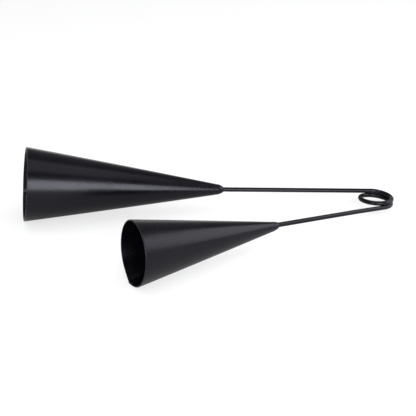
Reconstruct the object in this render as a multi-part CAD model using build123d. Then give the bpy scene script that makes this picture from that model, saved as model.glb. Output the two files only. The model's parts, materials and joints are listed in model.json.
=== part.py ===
from build123d import *
from math import asin, ceil, cos, degrees, pi, radians, sin, sqrt, tan
import os

# Agogo bell: two rolled sheet cones on the ends of one bent round bar, which is handle and spring in one.
# The bar runs from the large bell round a spring coil and back to the small bell, and the bells are
# squeezed together about the axis of that coil.
#
# Lengths are in millimetres and angles in degrees.
# The parts are made about the coil (Z along its axis, the large arm towards -X, the small arm towards the
# near side, -Y) and are then laid on the surface that carries the two mouth rims and the coil.

# Bar and spring coil
BAR_DIAMETER = 5.0
COIL_MEAN_DIAMETER = 36.0
COIL_TURN_GAP = 0.65
COIL_HALF_TURNS = 3
ARM_SPREAD = 22.55

# Bells, measured on the outside of the sheet from the apex circle to the mouth
SHEET_THICKNESS = 1.2
LARGE_BELL_LENGTH = 216.6
LARGE_MOUTH_DIAMETER = 83.0
SMALL_BELL_LENGTH = 162.5
SMALL_MOUTH_DIAMETER = 64.6

# Arms, from the point where the bar leaves the coil to the apex circle
LARGE_ARM_LENGTH = 185.5
SMALL_ARM_LENGTH = 160.3
BAR_END_INSIDE_BELL = 14.0

# Hand-set angles: each bell's axis leans away from its arm, along the coil's axis,
# and each mouth is trimmed out of square, upwards and towards the other bell
LARGE_BELL_LEAN = 1.1
SMALL_BELL_LEAN = 1.1
LARGE_MOUTH_TRIM_UP = 2.5
LARGE_MOUTH_TRIM_INWARD = 6.0
SMALL_MOUTH_TRIM_UP = 1.5
SMALL_MOUTH_TRIM_INWARD = 3.8

# Lapped seam of each rolled sheet, as angles round the bell's axis, from the top towards the far side
LARGE_SEAM_ANGLE = 120.0
SMALL_SEAM_ANGLE = 166.0
SEAM_LAP_ANGLE = 16.0
SEAM_EASE_ANGLE = 90.0

# Apex welds
LARGE_WELD_RING = 2.3
SMALL_WELD_RING = 1.1
WELD_NOSE_LENGTH = 7.0
WELD_TOE = 0.4
WELD_ROOT_DEPTH = 5.0

# Search for the resting plane
EDGE_SAMPLES = 181
PATH_SAMPLES = 721
RESTING_STEPS = 40

bar_radius = BAR_DIAMETER / 2
coil_radius = COIL_MEAN_DIAMETER / 2
coil_pitch = BAR_DIAMETER + COIL_TURN_GAP
coil_turn = 180 * COIL_HALF_TURNS - ARM_SPREAD
coil_drop = coil_pitch * coil_turn / 360
stub_length = BAR_DIAMETER

far_side = Vector(0, 1, 0)
up = Vector(0, 0, 1)
large_arm_direction = Vector(-1, 0, 0)
small_arm_direction = Vector(-cos(radians(ARM_SPREAD)), -sin(radians(ARM_SPREAD)), 0)
large_arm_start = coil_radius * far_side + coil_drop / 2 * up
small_arm_start = coil_radius * small_arm_direction.cross(-up) - coil_drop / 2 * up


def coil_point(share):
    """Point of the helix at a share of its length, from the large arm (0) to the small arm (1)."""
    angle = radians(90 - coil_turn * share)
    return Vector(coil_radius * cos(angle), coil_radius * sin(angle), coil_drop * (0.5 - share))


def coil_direction(share):
    """Unit direction of the helix there; its ends turn into the straight arms."""
    if share == 0:
        return -large_arm_direction
    if share == 1:
        return small_arm_direction
    angle = radians(90 - coil_turn * share)
    fall = coil_drop / radians(coil_turn)
    return Vector(coil_radius * sin(angle), -coil_radius * cos(angle), -fall).normalized()


def biarc(start, start_direction, end, end_direction):
    """Two arcs that leave start and reach end along the given directions, tangent where they meet."""
    chord = end - start
    both = start_direction + end_direction
    opening = 2 * (1 - start_direction.dot(end_direction))
    pull = chord.dot(both)
    handle = (sqrt(pull ** 2 + opening * chord.dot(chord)) - pull) / opening
    start_handle = start + handle * start_direction
    end_handle = end - handle * end_direction
    joint = (start_handle + end_handle) / 2
    joint_direction = (end_handle - start_handle).normalized()
    return [
        TangentArc(start, joint, tangent=start_direction),
        TangentArc(joint, end, tangent=joint_direction),
    ]


def coil_path():
    """Straight stub, quarter-turn biarcs of the helix, straight stub."""
    spans = ceil(coil_turn / 90)
    edges = [Line(large_arm_start + stub_length * large_arm_direction, large_arm_start)]
    for span in range(spans):
        first = span / spans
        last = (span + 1) / spans
        edges += biarc(coil_point(first), coil_direction(first), coil_point(last), coil_direction(last))
    edges.append(Line(small_arm_start, small_arm_start + stub_length * small_arm_direction))
    return Wire(edges)


def spring_coil(path):
    """One unbroken tube along the path."""
    start = Plane(origin=path @ 0, z_dir=path % 0)
    return sweep(start * Circle(bar_radius), path=path)


def least_coil_gap(path):
    """Least gap between the surfaces of two turns, on points at least half a turn apart."""
    points = [path @ (step / PATH_SAMPLES) for step in range(PATH_SAMPLES + 1)]
    half_turn = ceil(pi * coil_radius / path.length * PATH_SAMPLES)
    gaps = []
    for first in range(PATH_SAMPLES + 1 - half_turn):
        gaps += [(points[first] - other).length for other in points[first + half_turn:]]
    return min(gaps) - BAR_DIAMETER


def arm(start, direction, length):
    """Straight bar from the stub of the coil to its end inside the bell."""
    plane = Plane(origin=start + stub_length * direction, z_dir=direction)
    bar = Cylinder(
        bar_radius, length + BAR_END_INSIDE_BELL - stub_length, align=(Align.CENTER, Align.CENTER, Align.MIN)
    )
    return plane * bar


def bell_plane(start, direction, length, lean):
    """Apex circle of a bell: X up, Y to the far side, Z along the bell's axis to its mouth."""
    apex = start + length * direction
    axis = cos(radians(lean)) * direction + sin(radians(lean)) * up
    return Plane(origin=apex, x_dir=up - up.dot(axis) * axis, z_dir=axis)


class Bell:
    """One bell. Its apex circle leaves room for the bar and the ring of weld, and its slope follows:
    the outside grows by the slope times the length, and the wall across the axis is the sheet at a slant."""

    def __init__(self, length, mouth_diameter, weld_ring, seam_angle, trim_up, trim_far):
        self.length = length
        self.seam_angle = seam_angle
        self.trim_up = trim_up
        self.trim_far = trim_far
        self.mouth_radius = mouth_diameter / 2
        spread = self.mouth_radius - bar_radius - weld_ring
        slant = sqrt(length ** 2 + spread ** 2 - SHEET_THICKNESS ** 2)
        self.slope = (spread * length - SHEET_THICKNESS * slant) / (length ** 2 - SHEET_THICKNESS ** 2)
        self.wall = SHEET_THICKNESS * sqrt(1 + self.slope ** 2)
        self.apex_radius = bar_radius + weld_ring + self.wall

    def cone(self, bottom, top, inset=0):
        """Full cone between two heights, inset from the outer surface."""
        radius_at = [self.apex_radius + self.slope * height - inset for height in (bottom, top)]
        return Pos(0, 0, bottom) * Cone(
            *radius_at, top - bottom, align=(Align.CENTER, Align.CENTER, Align.MIN)
        )

    def sector(self, first, last):
        """Tall wedge between two angles from the seam."""
        reach = 2 * self.mouth_radius
        height = 2 * self.length
        angles = [radians(self.seam_angle + first + (last - first) * share / 2) for share in range(3)]
        rays = [(reach * cos(angle), reach * sin(angle)) for angle in angles]
        outline = make_face(Polyline((0, 0), *rays, (0, 0)))
        return Pos(0, 0, -height / 2) * extrude(outline, amount=height + self.length)

    def mouth_plane(self):
        """Plane of the rim, through the centre of the mouth."""
        normal = Vector(tan(radians(self.trim_up)), tan(radians(self.trim_far)), 1)
        return Plane(origin=(0, 0, self.length), z_dir=normal)

    def sheet(self):
        """Rolled sheet: round cone whose last quarter climbs by one thickness onto the lap."""
        seam = radians(self.seam_angle)
        climb = Pos(SHEET_THICKNESS * cos(seam), SHEET_THICKNESS * sin(seam), 0)
        spare = self.mouth_radius
        top = self.length + spare
        outer = self.cone(0, top)
        outer += climb * self.cone(0, top) & self.sector(0, SEAM_EASE_ANGLE)
        below = -SHEET_THICKNESS
        inner = self.cone(below, top, self.wall)
        inner += climb * self.cone(below, top, self.wall) & self.sector(SEAM_LAP_ANGLE, SEAM_EASE_ANGLE)
        return split(outer - inner, bisect_by=self.mouth_plane(), keep=Keep.BOTTOM)

    def weld_blank(self):
        """Nose that runs on from the cone's slope, and root inside the apex, still without the bore."""
        toe = (bar_radius + WELD_TOE, -WELD_NOSE_LENGTH)
        shoulder = (self.apex_radius, 0)
        root_radius = self.apex_radius - self.wall / 2
        root_end = (root_radius + self.slope * WELD_ROOT_DEPTH, WELD_ROOT_DEPTH)
        outline = TangentArc(shoulder, toe, tangent=(-self.slope, -1)) + Polyline(
            shoulder, (root_radius, 0), root_end, (0, WELD_ROOT_DEPTH), (0, -WELD_NOSE_LENGTH), toe
        )
        return revolve(Plane.XZ * make_face(outline), axis=Axis.Z)


def edge_points(part):
    """Points along every edge of a part."""
    return [edge @ (step / EDGE_SAMPLES) for edge in part.edges() for step in range(EDGE_SAMPLES + 1)]


def resting_normal(large_sheet, small_sheet, path):
    """Upward normal of the surface that touches both mouth rims and the underside of the coil."""
    rims = [edge_points(large_sheet), edge_points(small_sheet)]
    coil_points = [path @ (step / PATH_SAMPLES) for step in range(PATH_SAMPLES + 1)]
    normal = up
    for _ in range(RESTING_STEPS):
        touching = [min(points, key=normal.dot) for points in rims]
        touching.append(min(coil_points, key=normal.dot) - bar_radius * normal)
        normal = (touching[1] - touching[0]).cross(touching[2] - touching[0]).normalized()
        if normal.Z < 0:
            normal = -normal
    return normal


def lay_down(parts, normal):
    """Location that lays the parts on the XY plane, +X from the mouths to the coil, with the origin under
    the centre of their box."""
    along = -large_arm_direction
    level = Plane(origin=(0, 0, 0), x_dir=along - along.dot(normal) * normal, z_dir=normal)
    turned = level.location.inverse()
    box = Compound(children=[turned * part for part in parts]).bounding_box()
    return Pos(-box.center().X, -box.center().Y, -box.min.Z) * turned


path = coil_path()
large = Bell(
    LARGE_BELL_LENGTH, LARGE_MOUTH_DIAMETER, LARGE_WELD_RING, LARGE_SEAM_ANGLE,
    LARGE_MOUTH_TRIM_UP, -LARGE_MOUTH_TRIM_INWARD
)
small = Bell(
    SMALL_BELL_LENGTH, SMALL_MOUTH_DIAMETER, SMALL_WELD_RING, SMALL_SEAM_ANGLE,
    SMALL_MOUTH_TRIM_UP, SMALL_MOUTH_TRIM_INWARD
)
large_place = bell_plane(large_arm_start, large_arm_direction, LARGE_ARM_LENGTH, LARGE_BELL_LEAN)
small_place = bell_plane(small_arm_start, small_arm_direction, SMALL_ARM_LENGTH, -SMALL_BELL_LEAN)

parts = {
    "large_bell": large_place * large.sheet(),
    "small_bell": small_place * small.sheet(),
    "large_bell_arm": arm(large_arm_start, large_arm_direction, LARGE_ARM_LENGTH),
    "small_bell_arm": arm(small_arm_start, small_arm_direction, SMALL_ARM_LENGTH),
    "spring_coil": spring_coil(path),
}
parts["large_apex_weld"] = large_place * large.weld_blank() - parts["large_bell"] - parts["large_bell_arm"]
parts["small_apex_weld"] = small_place * small.weld_blank() - parts["small_bell"] - parts["small_bell_arm"]

placement = lay_down(parts.values(), resting_normal(parts["large_bell"], parts["small_bell"], path))
coil_centre = placement.position
coil_axis = (placement * Pos(up)).position - coil_centre

os.makedirs("parts", exist_ok=True)
for name, part in parts.items():
    export_step(placement * part, f"parts/{name}.step")

tube_share = parts["spring_coil"].volume / (pi * bar_radius ** 2 * path.length)
print(f"least gap between turns of the coil {least_coil_gap(path):.3f} mm")
print(f"coil volume over section times length {tube_share:.6f}")
coil_tilt = degrees(asin(sqrt(coil_axis.X ** 2 + coil_axis.Y ** 2)))
print(f"tilt of the coil's axis from upright {coil_tilt:.3f} degrees")
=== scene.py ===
"""Agogo bell: two rolled sheet bells, one bent bar that is handle and spring, and the welds that join them.

The packed solids are the frame: the coil's centre and axis, the arms and the bodies come from it. Lengths
are in metres and angles in radians.
"""

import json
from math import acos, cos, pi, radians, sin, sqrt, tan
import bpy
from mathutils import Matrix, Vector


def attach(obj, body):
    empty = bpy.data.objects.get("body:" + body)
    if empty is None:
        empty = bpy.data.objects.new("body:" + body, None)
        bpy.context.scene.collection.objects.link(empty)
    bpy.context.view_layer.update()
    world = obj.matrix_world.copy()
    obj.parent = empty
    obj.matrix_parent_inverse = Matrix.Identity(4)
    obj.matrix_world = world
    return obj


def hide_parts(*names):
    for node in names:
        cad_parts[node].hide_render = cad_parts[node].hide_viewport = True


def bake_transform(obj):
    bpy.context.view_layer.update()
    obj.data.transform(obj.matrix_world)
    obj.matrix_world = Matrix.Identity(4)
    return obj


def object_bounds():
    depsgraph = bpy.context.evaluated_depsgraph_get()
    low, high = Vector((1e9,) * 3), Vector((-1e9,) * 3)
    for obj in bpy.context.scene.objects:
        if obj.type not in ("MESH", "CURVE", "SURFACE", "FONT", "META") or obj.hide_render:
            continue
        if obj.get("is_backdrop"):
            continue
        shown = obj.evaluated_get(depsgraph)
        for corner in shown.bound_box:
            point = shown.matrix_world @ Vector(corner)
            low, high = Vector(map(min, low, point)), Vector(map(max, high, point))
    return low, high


bl_info = {
    "name": "Agogo bell",
    "version": (1, 0, 0),
    "blender": (4, 5, 0),
    "location": "View3D > Sidebar > Agogo bell",
    "description": "Builds the coated bells, bar and welds of an agogo bell, and a white studio round them",
    "category": "Add Mesh",
}

import bpy
import numpy as np
from bpy.props import FloatProperty, FloatVectorProperty, IntProperty, PointerProperty
from mathutils import Vector

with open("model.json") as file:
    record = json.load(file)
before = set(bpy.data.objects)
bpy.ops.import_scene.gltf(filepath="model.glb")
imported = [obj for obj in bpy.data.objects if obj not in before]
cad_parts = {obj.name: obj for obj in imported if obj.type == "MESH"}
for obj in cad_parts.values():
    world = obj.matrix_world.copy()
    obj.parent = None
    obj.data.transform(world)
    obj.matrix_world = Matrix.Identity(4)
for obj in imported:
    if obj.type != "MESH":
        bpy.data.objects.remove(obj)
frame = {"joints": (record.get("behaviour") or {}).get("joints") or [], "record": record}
cad_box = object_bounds()

MM = 0.001

# Steps of the grids
ROUND_STEPS = 5
SHEET_STEPS = 110
SHEET_TURNS = 300
NOSE_STEPS = 33
SKIRT_STEPS = 6
BEAD_SIDES = 96
ARM_STEPS = 60
COIL_STEPS = 220
BAR_SIDES = 40
FLOOR_STEPS = 48

# Share of the small bell's arm over which its bow grows
BOW_SHARE = 1 / 3

# Waves of the rolled sheet: number round the bell, share of the height, turn along the bell and start
ROLLING_WAVES = ((2, 0.5, 2.6, 0.4), (3, 0.3, -4.1, 1.9), (5, 0.2, 7.3, 0.0))

# Shares of a bell's length from its apex, to its last spot weld and to where the lap's corner starts to lift
SPOTS_END = 0.35
LIFT_START = 0.85

# Weld: how many toes it reaches into the bar, the lip of its toe outwards and along the bar in toes,
# and the share of the skirt's height that the skirt's edge sinks into the sheet
WELD_BURIED = 2.0
TOE_LIP = (0.5, 0.6)
SKIRT_SINK = 0.3

# Bead of the weld: sway and bow of its ripples, and counts, start and bow of its lumps
RIPPLE_SWAY = 0.8
RIPPLE_BOW = 9.0
LUMP_COUNTS = (3, 2)
LUMP_START = 1.1
LUMP_BOW = 5.0

# Scales of the patterns, in cells to the metre. The streaks have one round the bell and one along it
CLOUD_SCALE = 22.0
SMUDGE_SCALE = 95.0
NIB_SCALE = 120.0
STREAK_SCALE = (420.0, 9.0, 1.0)
FLOOR_SCALE = 0.125

# Noise levels between which the masks of clouds, smudges and streaks rise from 0 to 1
CLOUD_EDGES = (0.35, 0.68)
SMUDGE_EDGES = (0.4, 0.7)
STREAK_EDGES = (0.35, 0.7)

# Nibs of dust: where a nib falls away from its cell's centre, in cells, and the share of cells without one
NIB_EDGES = (0.02, 0.06)
NIB_FREE = 0.8

# Share of the clouds in the coat's roughness, how much finer the grit is than the peel and its share of the
# peel's height, and what the streaks add to roughness and height
CLOUD_SHARE = 0.6
GRIT_FINENESS = 5.0
GRIT_SHARE = 0.12
STREAK_ROUGHNESS = 0.03
STREAK_HEIGHT = 0.25

# Studio: soft boxes by azimuth and elevation in degrees, then distance, width and height in metres. The
# floor's rings start at its hub, the root of a share of its radius
SOFT_BOXES = {
    "front": (17.0, 20.0, 1.5, 0.74, 0.84),
    "left": (-32.0, 31.0, 1.7, 0.25, 0.95),
    "side": (90.0, 28.0, 1.5, 1.3, 1.0),
    "top": (0.0, 88.0, 1.5, 1.4, 1.2),
}
LAMP_COLOUR = (0.97, 0.985, 1.0)
SKY_COLOUR = (0.98, 0.99, 1.0, 1.0)
SWEEP_SOFTNESS = 0.05
FLOOR_RADIUS = 12.0
FLOOR_HUB = 0.001
FLOOR_GAP = 0.05 * MM
FLOOR_CLOUDS = (0.98, 1.0)
SENSOR_WIDTH = 36.0
CAMERA_TARGET = np.array([-1.93, 72.59, 0.0]) * MM


def unit(vector):
    """Vector of length one along the given one."""
    return np.asarray(vector, float) / np.linalg.norm(vector)


mounts = {mount["name"]: mount for mount in frame["record"]["mounts"]}
squeeze = frame["joints"][0]
coil_centre = np.array(squeeze["pos_m"])
coil_up = -unit(squeeze["axis"])
large_arm = unit(mounts["large_arm_grip"]["axis"])
small_arm = unit(mounts["small_arm_grip"]["axis"])
large_grip = np.array(mounts["large_arm_grip"]["pos_m"])
small_grip = np.array(mounts["small_arm_grip"]["pos_m"])


# Properties


def length_of(name, description, default):
    """A length in metres."""
    return FloatProperty(
        name=name, description=description, default=default, min=0, unit="LENGTH", precision=5
    )


def angle_of(name, description, degrees):
    """An angle, written in degrees and kept in radians."""
    return FloatProperty(name=name, description=description, default=radians(degrees), subtype="ANGLE")


def share_of(name, description, default):
    """A share from 0 to 1."""
    return FloatProperty(
        name=name, description=description, default=default, min=0, max=1, precision=4, subtype="FACTOR"
    )


def level_of(name, description, default):
    """How bright a lamp or the sky is, where 1 is white."""
    return FloatProperty(name=name, description=description, default=default, min=0)


def colour_of(name, description, default):
    """A colour in linear red, green and blue."""
    return FloatVectorProperty(
        name=name, description=description, default=default, size=3, min=0, max=1, subtype="COLOR"
    )


class BarSizes(bpy.types.PropertyGroup):
    """Round bar and its spring coil."""

    diameter: length_of("Bar diameter", "Across the round steel bar", 5.0 * MM)
    coat: length_of("Bar coat", "Thickness of the coat on the bar", 0.1 * MM)
    coil_diameter: length_of("Coil diameter", "Across the coil, between bar centres", 36.0 * MM)
    turn_gap: length_of("Turn gap", "Gap between two turns, as the coil was wound", 0.65 * MM)
    settle: length_of("Settle", "How far the turns have settled towards each other", 0.32 * MM)
    half_turns: IntProperty(name="Half turns", description="Half turns of the coil", default=3, min=1)
    end_inside: length_of("End inside bell", "Bar past the apex circle of each bell", 14.0 * MM)
    end_round: length_of("End rounding", "Rounding of the cut ends", 0.6 * MM)
    coil_ease: share_of("Coil ease", "Share of the coil over which each arm runs into its slope", 0.02)
    small_bow: length_of("Bow", "Of the small bell's arm, up along the coil's axis", 0.45 * MM)


class SheetSizes(bpy.types.PropertyGroup):
    """Sheet of both bells, with its lapped seam."""

    thickness: length_of("Sheet thickness", "Steel sheet", 1.2 * MM)
    lap_angle: angle_of("Lap", "Overlap of the seam round the bell", 16.0)
    ease_angle: angle_of("Ease", "From the seam to where the sheet is round again", 90.0)
    lap_gap: length_of("Lap gap", "Hair's gap between the two layers of the lap", 0.1 * MM)
    corner_lift: length_of("Corner lift", "Of the lap's free corner at the mouth", 2.6 * MM)
    lift_before: angle_of("Lift before", "Where the lift starts in the sheet that runs under the lap", 22.0)
    lift_after: angle_of("Lift after", "Where the lift of the lap itself ends", 34.0)
    lift_crest: angle_of("Lift crest", "Rounding of the lift at the lap's edge", 2.0)
    rim_round: length_of("Rim rounding", "Rounding of the mouth's two edges", 0.4 * MM)
    seam_round: length_of("Seam rounding", "Rounding of the sheet's straight edges", 0.4 * MM)
    waves: length_of("Rolling waves", "Unevenness that hand rolling leaves at the mouth", 0.12 * MM)
    spot_pitch: length_of("Spot pitch", "From one spot weld of the lap to the next", 21.0 * MM)
    spot_diameter: length_of("Spot diameter", "Across the dimple of a spot weld", 5.6 * MM)
    spot_depth: length_of("Spot depth", "Depth of the dimple of a spot weld", 0.3 * MM)


class LargeBellSizes(bpy.types.PropertyGroup):
    """Large bell, on the outside of its sheet."""

    length: length_of("Length", "From the apex circle to the mouth", 216.6 * MM)
    mouth_diameter: length_of("Mouth diameter", "Across the mouth", 83.0 * MM)
    weld_ring: length_of("Weld ring", "Ring of weld between bar and sheet at the apex", 2.3 * MM)
    bulge: length_of("Bulge", "Of the sides beyond a straight cone", 0.35 * MM)
    nose_reach: share_of("Nose reach", "Share of the weld's nose to which the cone's slope reaches", 0.57)
    lean: angle_of("Lean", "Of the bell's axis from its arm, up along the coil's axis", 1.1)
    trim_up: angle_of("Trim up", "Of the mouth, upwards", 2.5)
    trim_far: angle_of("Trim far", "Of the mouth, to the far side", -6.0)
    seam_angle: angle_of("Seam", "Of the lap's outer edge, from the top to the far side", 120.0)


class SmallBellSizes(bpy.types.PropertyGroup):
    """Small bell, on the outside of its sheet."""

    length: length_of("Length", "From the apex circle to the mouth", 162.5 * MM)
    mouth_diameter: length_of("Mouth diameter", "Across the mouth", 64.6 * MM)
    weld_ring: length_of("Weld ring", "Ring of weld between bar and sheet at the apex", 1.1 * MM)
    bulge: length_of("Bulge", "Of the sides beyond a straight cone", 0.15 * MM)
    nose_reach: share_of("Nose reach", "Share of the weld's nose to which the cone's slope reaches", 1.0)
    lean: angle_of("Lean", "Of the bell's axis from its arm, up along the coil's axis", -1.1)
    trim_up: angle_of("Trim up", "Of the mouth, upwards", 1.5)
    trim_far: angle_of("Trim far", "Of the mouth, to the far side", 3.8)
    seam_angle: angle_of("Seam", "Of the lap's outer edge, from the top to the far side", 166.0)


class WeldSizes(bpy.types.PropertyGroup):
    """Weld between the bar and the apex of each bell."""

    nose_length: length_of("Nose length", "Of the weld outside the apex circle", 7.0 * MM)
    toe: length_of("Toe", "Of the nose above the bar, where it ends", 0.4 * MM)
    root_depth: length_of("Root depth", "Of the weld inside the apex circle", 5.0 * MM)
    skirt: length_of("Skirt", "Of the weld over the outside of the sheet", 2.5 * MM)
    skirt_height: length_of("Skirt height", "Of the weld above the outside of the sheet", 0.05 * MM)
    ripples: IntProperty(name="Ripples", description="Ripples of the bead in one turn", default=15, min=1)
    ripple_height: length_of("Ripple height", "Of the ripples, softened by the coat", 0.05 * MM)
    lump_height: length_of("Lump height", "Of the slow unevenness of the bead", 0.1 * MM)


class CoatLook(bpy.types.PropertyGroup):
    """Satin black powder coat."""

    dark: colour_of("Dark coat", "Coat where it is thickest", (0.0016, 0.0010, 0.0026))
    pale: colour_of("Pale coat", "Coat where it is thinnest", (0.0030, 0.0021, 0.0042))
    inside_pale: colour_of("Inside coat", "Thin coat inside the bells", (0.0050, 0.0042, 0.0060))
    tint: colour_of("Tint of shine", "Colour of what the coat reflects", (0.89, 0.9, 1.0))
    gloss: share_of("Smooth coat", "Roughness where the coat is smoothest", 0.22)
    matt: share_of("Rough coat", "Roughness where the coat is roughest", 0.28)
    inside_matt: share_of("Inside roughness", "Roughness of the thin coat inside the bells", 0.32)
    shine: share_of("Shine", "Specular level of the coat, where 0.5 is plain plastic", 0.22)
    inside_shine: share_of("Inside shine", "Specular level of the thin coat inside the bells", 0.14)
    peel_width: length_of("Peel width", "From one dimple of the orange peel to the next", 1.7 * MM)
    inside_peel_width: length_of("Inside peel width", "The same inside the bells", 0.85 * MM)
    peel_depth: length_of("Peel depth", "Depth of the orange peel", 0.012 * MM)


class StudioLook(bpy.types.PropertyGroup):
    """Floor, lamps, sky and camera."""

    floor: colour_of("Floor", "Matt grey of the floor, before the light that it adds", (0.24, 0.24, 0.24))
    floor_lift: share_of("Floor lift", "Light that the floor adds to be white", 0.84)
    shadow: share_of("Shadow", "How much of the floor's own light the object takes away", 0.22)
    shadow_reach: length_of("Shadow reach", "How far the object darkens the floor round it", 150.0 * MM)
    sky: level_of("Sky", "Grey of the room above the sweep", 0.28)
    sweep: level_of("Sweep", "White of the sweep behind the floor", 1.0)
    sweep_top: angle_of("Sweep top", "Height of the sweep above the horizon", 12.0)
    front_lamp: level_of("Front lamp", "Soft box beside the camera", 10.8)
    left_lamp: level_of("Left lamp", "Narrow soft box on the mouths' side", 13.0)
    side_lamp: level_of("Side lamp", "Wide soft box on the coil's side", 3.3)
    top_lamp: level_of("Top lamp", "Soft box overhead", 1.1)
    azimuth: angle_of("Camera azimuth", "Round the object, from -Y towards +X", -7.915)
    elevation: angle_of("Camera elevation", "Above the floor", 25.516)
    distance: length_of("Camera distance", "From the point it looks at", 929.5 * MM)
    lens: FloatProperty(
        name="Lens", description="Focal length on a 36 mm sensor", default=69.18, min=1, unit="CAMERA"
    )


# Forms worked out from the sizes and the frame


class BarLine:
    """Centre line of the bent bar: straight arm, helix about the coil's axis, straight arm.

    The helix turns through the half turns less the angle between the arms. It drops by the pitch, which is
    the bar and the gap, for each full turn, and its turns settle towards each other between its two ends."""

    def __init__(self, sizes):
        self.radius = sizes.diameter / 2
        self.coated_radius = self.radius + sizes.coat
        self.coil_radius = sizes.coil_diameter / 2
        self.turn = pi * sizes.half_turns - acos(large_arm @ small_arm)
        self.drop = (sizes.diameter + sizes.turn_gap) * self.turn / (2 * pi)
        self.settle = sizes.settle
        self.far = np.cross(large_arm, coil_up)
        half_drop = self.drop / 2 * coil_up
        self.large_start = coil_centre + self.coil_radius * self.far + half_drop
        self.small_start = coil_centre - self.coil_radius * np.cross(small_arm, coil_up) - half_drop

    def arm(self, start, grip, end_inside, bow, steps):
        """Points from the end of the coil to the bar's end inside the bell. The grip is half way from the
        arm's start to the apex. The bow, along the coil's axis, grows over its share of the arm and then
        stays."""
        to_apex = 2 * (grip - start)
        length = np.linalg.norm(to_apex)
        share = np.linspace(0, 1 + end_inside / length, steps)[:, None]
        return start + share * to_apex + bow * smooth_step(0, BOW_SHARE, share) * coil_up

    def coil(self, ease, steps):
        """Points of the helix. Its height falls evenly less one wave of a sine, which settles the turns.
        Over the ease share at each end the fall grows from level as the square of the share, so the arms run
        into it without a kink."""
        share = np.linspace(0, 1, steps)[:, None]
        from_end = np.minimum(share, 1 - share)
        eased = np.where(from_end < ease, from_end ** 2 / (2 * ease), from_end - ease / 2) / (1 - ease)
        fall = np.where(share < 0.5, eased, 1 - eased)
        height = self.drop * (0.5 - fall) - self.settle * np.sin(2 * pi * fall)
        angle = pi / 2 - self.turn * share
        outward = -np.cos(angle) * large_arm + np.sin(angle) * self.far
        return coil_centre + self.coil_radius * outward + height * coil_up


class BellForm:
    """Cone of one bell: its apex circle leaves room for the bar and the ring of weld, and its outside grows
    by the slope times the distance along the axis, with sides that bulge a little. X is up, Y is to the far
    side and Z is along the axis."""

    def __init__(self, sizes, sheet, bar, start, grip, direction):
        self.length = sizes.length
        self.bulge = sizes.bulge
        self.nose_reach = sizes.nose_reach
        self.seam_angle = sizes.seam_angle
        self.trim = (tan(sizes.trim_up), tan(sizes.trim_far))
        thickness = sheet.thickness
        hole_radius = bar.radius + sizes.weld_ring
        spread = sizes.mouth_diameter / 2 - hole_radius
        slant = sqrt(self.length ** 2 + spread ** 2 - thickness ** 2)
        self.slope = (spread * self.length - thickness * slant) / (self.length ** 2 - thickness ** 2)
        self.wall = thickness * sqrt(1 + self.slope ** 2)
        self.apex_radius = hole_radius + self.wall
        self.origin = 2 * grip - start
        self.z_axis = cos(sizes.lean) * direction + sin(sizes.lean) * coil_up
        self.x_axis = unit(coil_up - (coil_up @ self.z_axis) * self.z_axis)
        self.y_axis = np.cross(self.z_axis, self.x_axis)

    def outside(self, height):
        """Radius of the outside at a height above the apex circle. The bulge is a parabola over the
        length."""
        share = height / self.length
        return self.apex_radius + self.slope * height + 4 * self.bulge * share * (1 - share)

    def rim_height(self, angle):
        """Height of the rim at an angle, where the cone meets the mouth's tilted plane."""
        tilt = self.trim[0] * np.cos(angle) + self.trim[1] * np.sin(angle)
        return (self.length - self.apex_radius * tilt) / (1 + self.slope * tilt)

    def place(self, radius, angle, height):
        """Points in the row frame from radius, angle and height in the bell's own."""
        up = (radius * np.cos(angle))[..., None] * self.x_axis
        aside = (radius * np.sin(angle))[..., None] * self.y_axis
        return self.origin + (up + aside) + height[..., None] * self.z_axis


def smooth_step(first, last, value):
    """0 below first, 1 above last, and the cubic 3t^2 - 2t^3 between them."""
    share = np.clip((value - first) / (last - first), 0, 1)
    return share * share * (3 - 2 * share)


# Meshes


def grid_faces(rows, columns, wrap_rows=False, wrap_columns=False):
    """Quads of a grid of rows by columns points, as rows of four vertex numbers, closed where it wraps."""
    row = np.arange(rows if wrap_rows else rows - 1)[:, None]
    column = np.arange(columns if wrap_columns else columns - 1)[None, :]
    next_row = (row + 1) % rows
    next_column = (column + 1) % columns
    corners = [
        row * columns + column,
        row * columns + next_column,
        next_row * columns + next_column,
        next_row * columns + column,
    ]
    return np.stack(np.broadcast_arrays(*corners), axis=-1).reshape(-1, 4)


def make_piece(name, points, faces):
    """Smooth-shaded mesh object of points and lists of faces, at the origin."""
    mesh = bpy.data.meshes.new(name)
    all_faces = [face for group in faces for face in group.tolist()]
    mesh.from_pydata(points.reshape(-1, 3).tolist(), [], all_faces)
    mesh.polygons.foreach_set("use_smooth", np.ones(len(mesh.polygons), bool))
    mesh.update()
    piece = bpy.data.objects.new(name, mesh)
    bpy.context.scene.collection.objects.link(piece)
    return piece


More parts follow.
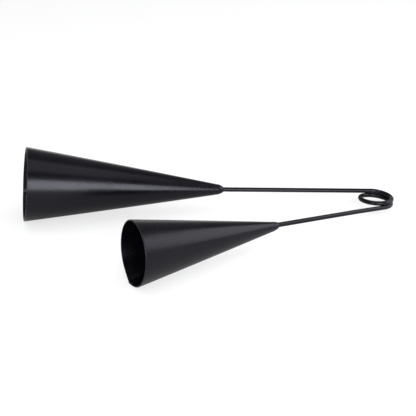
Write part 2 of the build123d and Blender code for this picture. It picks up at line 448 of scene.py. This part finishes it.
def round_bar(name, path, up, radius, end_round, sides):
    """Tube along a path. At each point a circle lies square to the path, set out by the side (path across
    up) and the lift (side across path). At both ends the circles shrink by a quarter round and close on a
    point."""
    along = np.gradient(path, axis=0)
    along /= np.linalg.norm(along, axis=1)[:, None]
    quarter = np.linspace(pi / 2, 0, ROUND_STEPS)
    inset = end_round * (1 - np.sin(quarter))[:, None]
    shrink = end_round * (1 - np.cos(quarter))
    centres = np.concatenate([path[0] + inset * along[0], path[1:-1], path[-1] - inset[::-1] * along[-1]])
    first_along = along[:1].repeat(ROUND_STEPS, 0)
    last_along = along[-1:].repeat(ROUND_STEPS, 0)
    along = np.concatenate([first_along, along[1:-1], last_along])
    radii = np.full(len(centres), radius)
    radii[:ROUND_STEPS] -= shrink
    radii[-ROUND_STEPS:] -= shrink[::-1]
    side = np.cross(along, up)
    side /= np.linalg.norm(side, axis=1)[:, None]
    lift = np.cross(side, along)
    angle = np.linspace(0, 2 * pi, sides, endpoint=False)[None, :, None]
    ring = np.cos(angle) * lift[:, None] + np.sin(angle) * side[:, None]
    rings = centres[:, None] + radii[:, None, None] * ring
    rows = len(centres)
    points = np.concatenate([rings.reshape(-1, 3), path[:1], path[-1:]])
    here = np.arange(sides)
    after = (here + 1) % sides
    last = (rows - 1) * sides
    first_cap = np.stack([np.full(sides, rows * sides), after, here], axis=-1)
    last_cap = np.stack([np.full(sides, rows * sides + 1), last + here, last + after], axis=-1)
    return make_piece(name, points, [grid_faces(rows, sides, wrap_columns=True), first_cap, last_cap])


def rolling_waves(angle, share, size):
    """Slow waves that hand rolling leaves: sines round the bell that turn along it and grow from nothing at
    the apex to the given size at the mouth."""
    waves = [
        part * np.sin(count * angle + twist * share + start)
        for count, part, twist, start in ROLLING_WAVES
    ]
    return size * share * sum(waves)


def spot_welds(form, sheet, turned, height, radius):
    """Depth of the dimples along the middle of the lap, in both layers: each falls off from its centre as
    the square of one less the squared share of its radius."""
    reach = sheet.spot_diameter / 2
    whole = 2 * pi + sheet.lap_angle
    middle = sheet.lap_angle / 2
    aside = radius * np.minimum(np.abs(turned - middle), np.abs(turned - whole + middle))
    depth = np.zeros_like(height)
    first = form.length - sheet.spot_pitch
    for centre in np.arange(first, SPOTS_END * form.length, -sheet.spot_pitch):
        share = np.clip((aside ** 2 + (height - centre) ** 2) / reach ** 2, 0, 1)
        depth += sheet.spot_depth * (1 - share) ** 2
    return depth


def lap_climb(sheet, turned):
    """How far the sheet lies outside its cone, by the angle from the lap's outer edge: one thickness on the
    lap, easing to nothing."""
    return sheet.thickness * (1 - smooth_step(sheet.lap_angle, sheet.ease_angle, turned))


def corner_lift(form, sheet, turned, height):
    """Lift of both layers at the lap's free corner, where the ends of the rolled sheet stay flatter: the
    square of one less the share of the angle from the lap's edge, to either side of it, with its crest
    rounded like a hyperbola. It fades away from the mouth."""
    past_edge = np.where(turned > pi, turned - 2 * pi, turned)
    reach = np.where(past_edge < 0, sheet.lift_before, sheet.lift_after)
    from_crest = np.sqrt(past_edge ** 2 + sheet.lift_crest ** 2) - sheet.lift_crest
    at_edge = np.clip(1 - from_crest / reach, 0, 1) ** 2
    at_corner = at_edge * smooth_step(LIFT_START, 1, height / form.length)
    return sheet.corner_lift * at_corner


def bell_shell(name, form, sheet):
    """Rolled sheet of one bell as a closed band.

    The angle starts at the outer edge of the lap, goes once round and on under the lap. The middle of the
    sheet is a cone, one thickness further out where the sheet climbs onto the lap and a hair further in
    where it goes under it, with rolling waves, spot welds and the lap's corner lifted at the mouth. Each
    cross-section is a loop: along the outside to the mouth, round the rim and back along the inside, half a
    thickness to each side of the middle. The two straight edges of the sheet are rounded by thinning it over
    a quarter round."""
    half = sheet.thickness / 2
    quarter = np.linspace(0, pi / 2, ROUND_STEPS)

    to_rim = np.sin(np.linspace(0, pi / 2, SHEET_STEPS))
    reach = np.concatenate([to_rim, np.ones(ROUND_STEPS - 1)])
    past = np.concatenate([np.zeros(SHEET_STEPS), np.sin(quarter[1:])]) * sheet.rim_round
    thin = np.concatenate([np.ones(SHEET_STEPS), np.cos(quarter[1:])])
    side = 1 - sheet.rim_round / half * (1 - thin)
    reach = np.concatenate([reach, reach[::-1]])[:, None]
    past = np.concatenate([past, past[::-1]])[:, None]
    side = np.concatenate([side, -side[::-1]])[:, None]

    round_share = np.zeros(ROUND_STEPS)
    from_edge = sheet.seam_round * (1 - np.cos(quarter))
    even = ((1 - np.cos(np.linspace(0, pi, SHEET_TURNS))) / 2)[1:-1]
    share = np.concatenate([round_share, even, 1 - round_share])[None, :]
    arc = np.concatenate([from_edge, sheet.seam_round * (1 - 2 * even), -from_edge[::-1]])[None, :]
    edge = np.concatenate([np.sin(quarter), np.ones_like(even), np.sin(quarter[::-1])])[None, :]
    thickness = half - sheet.seam_round * (1 - edge)

    whole = 2 * pi + sheet.lap_angle
    mouth_radius = form.outside(form.length)
    rim = form.rim_height(form.seam_angle + whole * share + arc / mouth_radius)
    height = reach * (rim - sheet.rim_round) + past
    middle = form.outside(height) - form.wall / 2
    turned = whole * share + arc / middle
    angle = form.seam_angle + turned

    climb = lap_climb(sheet, turned) + corner_lift(form, sheet, turned, height)
    under = sheet.lap_gap * smooth_step(whole - 2 * sheet.lap_angle, whole - sheet.lap_angle, turned)
    free = np.sin(np.clip(turned, 0, 2 * pi) / 2) ** 2
    waves = rolling_waves(angle, height / form.length, sheet.waves) * free
    middle = middle + climb - under + waves - spot_welds(form, sheet, turned, height, middle)

    tilt = np.arctan(form.slope)
    points = form.place(
        middle + side * thickness * np.cos(tilt), angle, height - side * thickness * np.sin(tilt)
    )
    rows, columns = points.shape[:2]
    band = grid_faces(rows, columns, wrap_rows=True)
    out = np.arange(rows // 2 - 1)
    back = rows - 1 - out
    ladder = np.stack([out, out + 1, back - 1, back], axis=-1) * columns
    piece = make_piece(name, points, [band, ladder, ladder[:, ::-1] + columns - 1])

    place = np.stack(np.broadcast_arrays(mouth_radius * turned, height, 0 * height), axis=-1)
    sheet_place = piece.data.attributes.new("sheet_place", "FLOAT_VECTOR", "POINT")
    sheet_place.data.foreach_set("vector", place.astype(np.float32).ravel())
    inner_rows = np.arange(rows) >= rows // 2
    inner = np.concatenate([inner_rows.repeat(columns - 1), np.zeros(2 * len(ladder), bool)])
    piece.data.polygons.foreach_set("material_index", inner.astype(np.int32))
    return piece


def apex_weld(name, form, sheet, weld, bar_radius):
    """Bead of weld, a closed outline carried round the bell's axis.

    The outline starts at the bar, follows the nose to the apex circle, laps a little over the sheet, goes
    through it and closes behind the root on the bar. The nose is a curve of second degree that runs on from
    the cone's slope: its handle lies on that slope, at the reach. It swells by slow lumps and by ripples
    that run round the bar, bowed along the nose, and both fade at its two ends. Where the sheet climbs onto
    its lap, the weld climbs with it, and a fillet fills the step."""
    toe = np.array([bar_radius + weld.toe, -weld.nose_length])
    shoulder = np.array([form.apex_radius + weld.skirt_height, 0])
    handle = shoulder - form.nose_reach * weld.nose_length * np.array([form.slope, 1])
    share = np.linspace(0, 1, NOSE_STEPS)
    to_shoulder = share[:, None]
    to_toe = 1 - to_shoulder
    nose = to_toe ** 2 * toe + 2 * to_shoulder * to_toe * handle + to_shoulder ** 2 * shoulder
    buried = bar_radius - WELD_BURIED * weld.toe
    lip = np.array([bar_radius, toe[1]]) + np.array([1, -1]) * TOE_LIP * weld.toe
    seat = np.stack([np.array([buried, toe[1] - weld.toe]), lip])
    skirt_height = np.linspace(0, weld.skirt, SKIRT_STEPS)[1:]
    skirt_rise = weld.skirt_height * (1 - (skirt_height / weld.skirt) ** 2 - SKIRT_SINK)
    skirt = np.stack([form.outside(skirt_height) + skirt_rise, skirt_height], axis=-1)
    core = form.outside(weld.root_depth) - form.wall / 2
    root = np.array([[core, weld.root_depth], [buried, weld.root_depth]])
    outline = np.concatenate([seat, nose, skirt, root])

    on_nose = slice(len(seat), len(seat) + len(nose))
    swell = np.zeros((len(outline), 1))
    swell[on_nose, 0] = np.sin(pi * share)
    on_sheet = np.zeros_like(swell)
    on_sheet[on_nose, 0] = share
    on_sheet[on_nose.stop:-len(root)] = 1
    bow = np.zeros_like(swell)
    bow[on_nose, 0] = (share - 0.5) ** 2
    angle = np.linspace(0, 2 * pi, BEAD_SIDES, endpoint=False)[None, :]
    phase = weld.ripples * angle + RIPPLE_SWAY * np.sin(2 * angle) + RIPPLE_BOW * bow
    ripple = weld.ripple_height * (0.5 + 0.5 * np.cos(phase))
    lump_round = np.sin(LUMP_COUNTS[0] * angle + LUMP_START)
    lump = weld.lump_height * lump_round * np.cos(LUMP_COUNTS[1] * angle - LUMP_BOW * bow)
    turned = (angle - form.seam_angle) % (2 * pi)
    fillet = sheet.thickness * smooth_step(2 * pi - sheet.lap_angle, 2 * pi, turned)
    climb = lap_climb(sheet, turned) + fillet
    radius = outline[:, :1] + swell * (ripple + lump) + on_sheet * climb
    height = np.broadcast_to(outline[:, 1:], radius.shape)
    points = form.place(radius, np.broadcast_to(angle, radius.shape), height)
    return make_piece(name, points, [grid_faces(*radius.shape, wrap_rows=True, wrap_columns=True)])


# Materials


def feed(tree, socket, value):
    """Links an input to another socket, or sets it to a value."""
    if isinstance(value, bpy.types.NodeSocket):
        tree.links.new(value, socket)
    else:
        socket.default_value = value


def node_of(tree, kind, settings=None, **inputs):
    """New node of a kind with its settings, and its named inputs set to values or linked from sockets."""
    node = tree.nodes.new(kind)
    for name, value in (settings or {}).items():
        setattr(node, name, value)
    for name, value in inputs.items():
        feed(tree, node.inputs[name.replace("_", " ")], value)
    return node


def maths(tree, operation, first, second):
    """Output of a Math node on two values or sockets."""
    node = node_of(tree, "ShaderNodeMath", {"operation": operation})
    feed(tree, node.inputs[0], first)
    feed(tree, node.inputs[1], second)
    return node.outputs[0]


def between(tree, value, low, high, first, last):
    """Output of a Map Range node that carries low to high onto first to last, smoothly."""
    return node_of(
        tree,
        "ShaderNodeMapRange",
        {"interpolation_type": "SMOOTHSTEP"},
        Value=value,
        From_Min=low,
        From_Max=high,
        To_Min=first,
        To_Max=last,
    ).outputs["Result"]


def mixed_colour(tree, blend, share, first, second):
    """Output of a Mix node that blends two colours or colour sockets."""
    node = node_of(tree, "ShaderNodeMix", {"data_type": "RGBA", "blend_type": blend}, Factor=share)
    colours = [socket for socket in node.inputs if socket.type == "RGBA"]
    feed(tree, colours[0], first)
    feed(tree, colours[1], second)
    return next(socket for socket in node.outputs if socket.type == "RGBA")


def new_group(name, inputs, outputs):
    """Empty shader node group with named sockets, and its input and output nodes."""
    tree = bpy.data.node_groups.new(name, "ShaderNodeTree")
    for socket, kind in inputs.items():
        tree.interface.new_socket(socket, in_out="INPUT", socket_type=kind)
    for socket, kind in outputs.items():
        tree.interface.new_socket(socket, in_out="OUTPUT", socket_type=kind)
    return tree, tree.nodes.new("NodeGroupInput").outputs, tree.nodes.new("NodeGroupOutput").inputs


def powder_coat_group():
    """Powder coat: clouds of thicker and thinner coat change its colour and roughness, and its height is the
    rolling orange peel, a finer grit and a few nibs of dust under the coat."""
    tree, given, made = new_group(
        "powder_coat",
        {
            "Place": "NodeSocketVector",
            "Dark": "NodeSocketColor",
            "Pale": "NodeSocketColor",
            "Gloss": "NodeSocketFloat",
            "Matt": "NodeSocketFloat",
            "Peel Width": "NodeSocketFloat",
        },
        {"Colour": "NodeSocketColor", "Roughness": "NodeSocketFloat", "Height": "NodeSocketFloat"},
    )
    place = given["Place"]
    clouds = node_of(
        tree, "ShaderNodeTexNoise", Vector=place, Scale=CLOUD_SCALE, Detail=4.0, Roughness=0.55
    )
    smudges = node_of(
        tree, "ShaderNodeTexNoise", Vector=place, Scale=SMUDGE_SCALE, Detail=3.0, Distortion=1.2
    )
    thin = between(tree, clouds.outputs["Fac"], *CLOUD_EDGES, 0.0, 1.0)
    rub = between(tree, smudges.outputs["Fac"], *SMUDGE_EDGES, 0.0, 1.0)
    tree.links.new(mixed_colour(tree, "MIX", thin, given["Dark"], given["Pale"]), made["Colour"])
    dull_clouds = maths(tree, "MULTIPLY", thin, CLOUD_SHARE)
    dull_smudges = maths(tree, "MULTIPLY", rub, 1 - CLOUD_SHARE)
    dull = maths(tree, "ADD", dull_clouds, dull_smudges)
    rough = maths(tree, "MULTIPLY", maths(tree, "SUBTRACT", given["Matt"], given["Gloss"]), dull)
    tree.links.new(maths(tree, "ADD", given["Gloss"], rough), made["Roughness"])
    dimples = maths(tree, "DIVIDE", 1.0, given["Peel Width"])
    peel = node_of(tree, "ShaderNodeTexNoise", Vector=place, Scale=dimples, Detail=1.0, Roughness=0.4)
    grains = maths(tree, "MULTIPLY", dimples, GRIT_FINENESS)
    grit = node_of(tree, "ShaderNodeTexNoise", Vector=place, Scale=grains, Detail=1.0)
    cells = node_of(tree, "ShaderNodeTexVoronoi", Vector=place, Scale=NIB_SCALE)
    pick = node_of(tree, "ShaderNodeSeparateColor", Color=cells.outputs["Color"]).outputs["Red"]
    nib = between(tree, cells.outputs["Distance"], *NIB_EDGES, 1.0, 0.0)
    nibs = maths(tree, "MULTIPLY", nib, maths(tree, "GREATER_THAN", pick, NIB_FREE))
    fine = maths(tree, "MULTIPLY", grit.outputs["Fac"], GRIT_SHARE)
    texture = maths(tree, "ADD", peel.outputs["Fac"], fine)
    tree.links.new(maths(tree, "ADD", texture, nibs), made["Height"])
    return tree


def rolled_streaks_group():
    """Faint streaks along the sheet from its rolling: noise drawn out many times longer along the slope than
    round the bell, as a mask from 0 to 1."""
    tree, given, made = new_group(
        "rolled_streaks", {"Sheet Place": "NodeSocketVector"}, {"Mask": "NodeSocketFloat"}
    )
    stretched = node_of(tree, "ShaderNodeMapping", Vector=given["Sheet Place"], Scale=STREAK_SCALE)
    noise = node_of(tree, "ShaderNodeTexNoise", Vector=stretched.outputs["Vector"], Scale=1.0, Detail=3.0)
    tree.links.new(between(tree, noise.outputs["Fac"], *STREAK_EDGES, 0.0, 1.0), made["Mask"])
    return tree


def shared_group(tree, name, build, **inputs):
    """Node of the shared group of that name, which is built the first time it is asked for."""
    group = bpy.data.node_groups.get(name) or build()
    return node_of(tree, "ShaderNodeGroup", {"node_tree": group}, **inputs)


def coat_material(name, look, streaked=False, inside=False):
    """Powder coat on one kind of piece, thinner and duller inside the bells. On the rolled sheet the streaks
    show through as faint changes of roughness and height."""
    material = bpy.data.materials.new(name)
    material.use_nodes = True
    tree = material.node_tree
    shader = tree.nodes["Principled BSDF"]
    coat = shared_group(
        tree,
        "powder_coat",
        powder_coat_group,
        Place=node_of(tree, "ShaderNodeTexCoord").outputs["Object"],
        Dark=(*look.dark, 1.0),
        Pale=(*(look.inside_pale if inside else look.pale), 1.0),
        Gloss=look.gloss,
        Matt=look.inside_matt if inside else look.matt,
        Peel_Width=look.inside_peel_width if inside else look.peel_width,
    )
    rough = coat.outputs["Roughness"]
    height = coat.outputs["Height"]
    if streaked:
        place = node_of(tree, "ShaderNodeAttribute", {"attribute_name": "sheet_place"}).outputs["Vector"]
        streaks = shared_group(tree, "rolled_streaks", rolled_streaks_group, Sheet_Place=place)
        mask = streaks.outputs["Mask"]
        rough = maths(tree, "ADD", rough, maths(tree, "MULTIPLY", mask, STREAK_ROUGHNESS))
        height = maths(tree, "ADD", height, maths(tree, "MULTIPLY", mask, STREAK_HEIGHT))
    bump = node_of(tree, "ShaderNodeBump", Height=height, Distance=look.peel_depth)
    tree.links.new(coat.outputs["Colour"], shader.inputs["Base Color"])
    tree.links.new(rough, shader.inputs["Roughness"])
    tree.links.new(bump.outputs["Normal"], shader.inputs["Normal"])
    shader.inputs["Specular IOR Level"].default_value = look.inside_shine if inside else look.shine
    shader.inputs["Specular Tint"].default_value = (*look.tint, 1.0)
    return material


def floor_material(look):
    """White floor: a matt grey that adds light of its own to what the camera, reflections and glass see, so
    that it is white round the object. That light fades where the object stands close over the floor, most in
    reflections, which keeps the object's shadow. From below the floor is clear."""
    material = bpy.data.materials.new("studio_floor")
    material.use_nodes = True
    tree = material.node_tree
    shader = tree.nodes["Principled BSDF"]
    place = node_of(tree, "ShaderNodeTexCoord").outputs["Object"]
    noise = node_of(tree, "ShaderNodeTexNoise", Vector=place, Scale=FLOOR_SCALE, Detail=2.0)
    shade = between(tree, noise.outputs["Fac"], 0.0, 1.0, *FLOOR_CLOUDS)
    tint = node_of(tree, "ShaderNodeCombineColor", Red=shade, Green=shade, Blue=shade)
    white = mixed_colour(tree, "MULTIPLY", 1.0, (*look.floor, 1.0), tint.outputs["Color"])
    tree.links.new(white, shader.inputs["Base Color"])
    shader.inputs["Roughness"].default_value = 1.0
    shader.inputs["Specular IOR Level"].default_value = 0.0
    rays = node_of(tree, "ShaderNodeLightPath").outputs
    seen = maths(tree, "MAXIMUM", rays["Is Camera Ray"], rays["Is Glossy Ray"])
    seen = maths(tree, "MAXIMUM", seen, rays["Is Transmission Ray"])
    shader.inputs["Emission Color"].default_value = (1.0, 1.0, 1.0, 1.0)
    open_sky = node_of(tree, "ShaderNodeAmbientOcclusion", {"samples": 6}, Distance=look.shadow_reach)
    share = between(tree, rays["Is Glossy Ray"], 0.0, 1.0, look.shadow, 1.0)
    shadow = maths(tree, "MULTIPLY", maths(tree, "SUBTRACT", 1.0, open_sky.outputs["AO"]), share)
    lift = maths(tree, "MULTIPLY", maths(tree, "SUBTRACT", 1.0, shadow), look.floor_lift)
    tree.links.new(maths(tree, "MULTIPLY", seen, lift), shader.inputs["Emission Strength"])
    behind = node_of(tree, "ShaderNodeNewGeometry").outputs["Backfacing"]
    clear = node_of(tree, "ShaderNodeBsdfTransparent").outputs["BSDF"]
    one_sided = tree.nodes.new("ShaderNodeMixShader")
    tree.links.new(behind, one_sided.inputs[0])
    tree.links.new(shader.outputs["BSDF"], one_sided.inputs[1])
    tree.links.new(clear, one_sided.inputs[2])
    tree.links.new(one_sided.outputs["Shader"], tree.nodes["Material Output"].inputs["Surface"])
    return material


# Stage


def direction_of(azimuth, elevation):
    """Unit vector towards an azimuth, from -Y towards +X, and an elevation."""
    return np.array([sin(azimuth) * cos(elevation), -cos(azimuth) * cos(elevation), sin(elevation)])


def aim(thing, place, target):
    """Puts a lamp or the camera at a place and turns it to a target, level with the floor."""
    thing.location = place
    thing.rotation_euler = (Vector(target) - Vector(place)).to_track_quat("-Z", "Y").to_euler()


def soft_box(name, azimuth, elevation, distance, width, height, level, target):
    """Rectangular lamp whose face is as bright as the level: its power is the level times pi times its
    area."""
    lamp = bpy.data.lights.new(name, "AREA")
    lamp.shape = "RECTANGLE"
    lamp.size = width
    lamp.size_y = height
    lamp.energy = level * pi * width * height
    lamp.color = LAMP_COLOUR
    box = bpy.data.objects.new(name, lamp)
    bpy.context.scene.collection.objects.link(box)
    box.visible_camera = False
    aim(box, target + distance * direction_of(radians(azimuth), radians(elevation)), target)


def sweep_sky(look):
    """Sky that is the white sweep up to a height above the horizon and the grey room above it. The height is
    the upward part of the direction looked in."""
    world = bpy.data.worlds.new("studio_sky")
    world.use_nodes = True
    tree = world.node_tree
    direction = node_of(tree, "ShaderNodeTexCoord").outputs["Generated"]
    upward = node_of(tree, "ShaderNodeSeparateXYZ", Vector=direction).outputs["Z"]
    top = sin(look.sweep_top)
    level = between(tree, upward, top - SWEEP_SOFTNESS, top + SWEEP_SOFTNESS, look.sweep, look.sky)
    background = tree.nodes["Background"]
    background.inputs["Color"].default_value = SKY_COLOUR
    tree.links.new(level, background.inputs["Strength"])
    return world


def studio_floor(look, level):
    """Round floor at a level: rings whose radius grows as the square of their share, and a hub in the
    middle."""
    angle = np.linspace(0, 2 * pi, FLOOR_STEPS, endpoint=False)[None, :]
    out = FLOOR_RADIUS * np.linspace(FLOOR_HUB, 1, FLOOR_STEPS)[:, None] ** 2
    flat = np.full_like(out * angle, level)
    points = np.stack([out * np.cos(angle), out * np.sin(angle), flat], axis=-1)
    rings = grid_faces(FLOOR_STEPS, FLOOR_STEPS, wrap_columns=True)[:, ::-1]
    hub = np.arange(FLOOR_STEPS)[None, :]
    floor = make_piece("studio_floor", points, [rings, hub])
    floor.data.materials.append(floor_material(look))
    return floor


# Operators


def bell_forms(scene):
    """The bar's line and the two bells' forms, from the scene's sizes."""
    bar = BarLine(scene.agogo_bar)
    sheet = scene.agogo_sheet
    large = BellForm(scene.agogo_large_bell, sheet, bar, bar.large_start, large_grip, large_arm)
    small = BellForm(scene.agogo_small_bell, sheet, bar, bar.small_start, small_grip, small_arm)
    return bar, large, small


class AGOGO_OT_bells(bpy.types.Operator):
    """Build the rolled sheet of both bells"""

    bl_idname = "agogo.bells"
    bl_label = "Bells"

    def execute(self, context):
        scene = context.scene
        look = scene.agogo_coat
        _, large, small = bell_forms(scene)
        outside = coat_material("bell_coat_outside", look, streaked=True)
        inside = coat_material("bell_coat_inside", look, streaked=True, inside=True)
        for node, body, form in (("large_bell", "large_side", large), ("small_bell", "small_side", small)):
            shell = bell_shell(node + "_shell", form, scene.agogo_sheet)
            shell.data.materials.append(outside)
            shell.data.materials.append(inside)
            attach(shell, body)
            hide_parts(node)
        return {"FINISHED"}


class AGOGO_OT_bar(bpy.types.Operator):
    """Build the bent bar, from its end in the large bell round the coil to its end in the small bell"""

    bl_idname = "agogo.bar"
    bl_label = "Bent bar"

    def execute(self, context):
        sizes = context.scene.agogo_bar
        look = context.scene.agogo_coat
        line = BarLine(sizes)
        coil = line.coil(sizes.coil_ease, COIL_STEPS)
        large_side = line.arm(line.large_start, large_grip, sizes.end_inside, 0, ARM_STEPS)[::-1]
        small_side = line.arm(line.small_start, small_grip, sizes.end_inside, sizes.small_bow, ARM_STEPS)
        path = np.concatenate([large_side[:-1], coil, small_side[1:]])
        bar = round_bar("bent_bar", path, coil_up, line.coated_radius, sizes.end_round, BAR_SIDES)
        bar.data.materials.append(coat_material("bar_coat", look))
        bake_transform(bar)
        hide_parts("large_bell_arm", "spring_coil", "small_bell_arm")
        return {"FINISHED"}


class AGOGO_OT_welds(bpy.types.Operator):
    """Build the weld at the apex of each bell"""

    bl_idname = "agogo.welds"
    bl_label = "Apex welds"

    def execute(self, context):
        scene = context.scene
        look = scene.agogo_coat
        bar, large, small = bell_forms(scene)
        coat = coat_material("weld_coat", look)
        for node, body, form in (
            ("large_apex_weld", "large_side", large),
            ("small_apex_weld", "small_side", small),
        ):
            bead = apex_weld(node + "_bead", form, scene.agogo_sheet, scene.agogo_weld, bar.coated_radius)
            bead.data.materials.append(coat)
            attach(bead, body)
            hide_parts(node)
        return {"FINISHED"}


class AGOGO_OT_studio(bpy.types.Operator):
    """Lay the floor, hang the lamps and set the camera"""

    bl_idname = "agogo.studio"
    bl_label = "Studio"

    def execute(self, context):
        scene = context.scene
        look = scene.agogo_studio
        middle = (np.array(cad_box[0]) + np.array(cad_box[1])) / 2
        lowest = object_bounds()[0][2]
        studio_floor(look, lowest - FLOOR_GAP)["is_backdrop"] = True
        scene.world = sweep_sky(look)
        for side, place in SOFT_BOXES.items():
            soft_box(f"{side}_soft_box", *place, getattr(look, f"{side}_lamp"), middle)
        lens = bpy.data.cameras.new("photo_camera")
        lens.sensor_width = SENSOR_WIDTH
        lens.lens = look.lens
        camera = bpy.data.objects.new("photo_camera", lens)
        scene.collection.objects.link(camera)
        away = look.distance * direction_of(look.azimuth, look.elevation)
        aim(camera, CAMERA_TARGET + away, CAMERA_TARGET)
        scene.camera = camera
        scene.view_settings.view_transform = "Standard"
        return {"FINISHED"}


class AGOGO_PT_sidebar(bpy.types.Panel):
    """Sizes, looks and the operators that build from them"""

    bl_label = "Agogo bell"
    bl_idname = "AGOGO_PT_sidebar"
    bl_space_type = "VIEW_3D"
    bl_region_type = "UI"
    bl_category = "Agogo bell"

    def draw(self, context):
        for name, kind in SETTINGS.items():
            box = self.layout.box()
            box.label(text=kind.__doc__)
            group = getattr(context.scene, name)
            for setting in kind.__annotations__:
                box.prop(group, setting)
        for operator in OPERATORS:
            self.layout.operator(operator.bl_idname)


SETTINGS = {
    "agogo_bar": BarSizes,
    "agogo_sheet": SheetSizes,
    "agogo_large_bell": LargeBellSizes,
    "agogo_small_bell": SmallBellSizes,
    "agogo_weld": WeldSizes,
    "agogo_coat": CoatLook,
    "agogo_studio": StudioLook,
}
OPERATORS = (AGOGO_OT_bells, AGOGO_OT_bar, AGOGO_OT_welds, AGOGO_OT_studio)


def register():
    """Registers the settings, operators and panel."""
    for name, kind in SETTINGS.items():
        bpy.utils.register_class(kind)
        setattr(bpy.types.Scene, name, PointerProperty(type=kind))
    for kind in (*OPERATORS, AGOGO_PT_sidebar):
        bpy.utils.register_class(kind)


def unregister():
    """Takes them away again."""
    for kind in (AGOGO_PT_sidebar, *reversed(OPERATORS)):
        bpy.utils.unregister_class(kind)
    for name, kind in reversed(SETTINGS.items()):
        delattr(bpy.types.Scene, name)
        bpy.utils.unregister_class(kind)


def main():
    register()
    bpy.ops.agogo.bells()
    bpy.ops.agogo.bar()
    bpy.ops.agogo.welds()
    bpy.ops.agogo.studio()


if __name__ == "__main__":
    main()
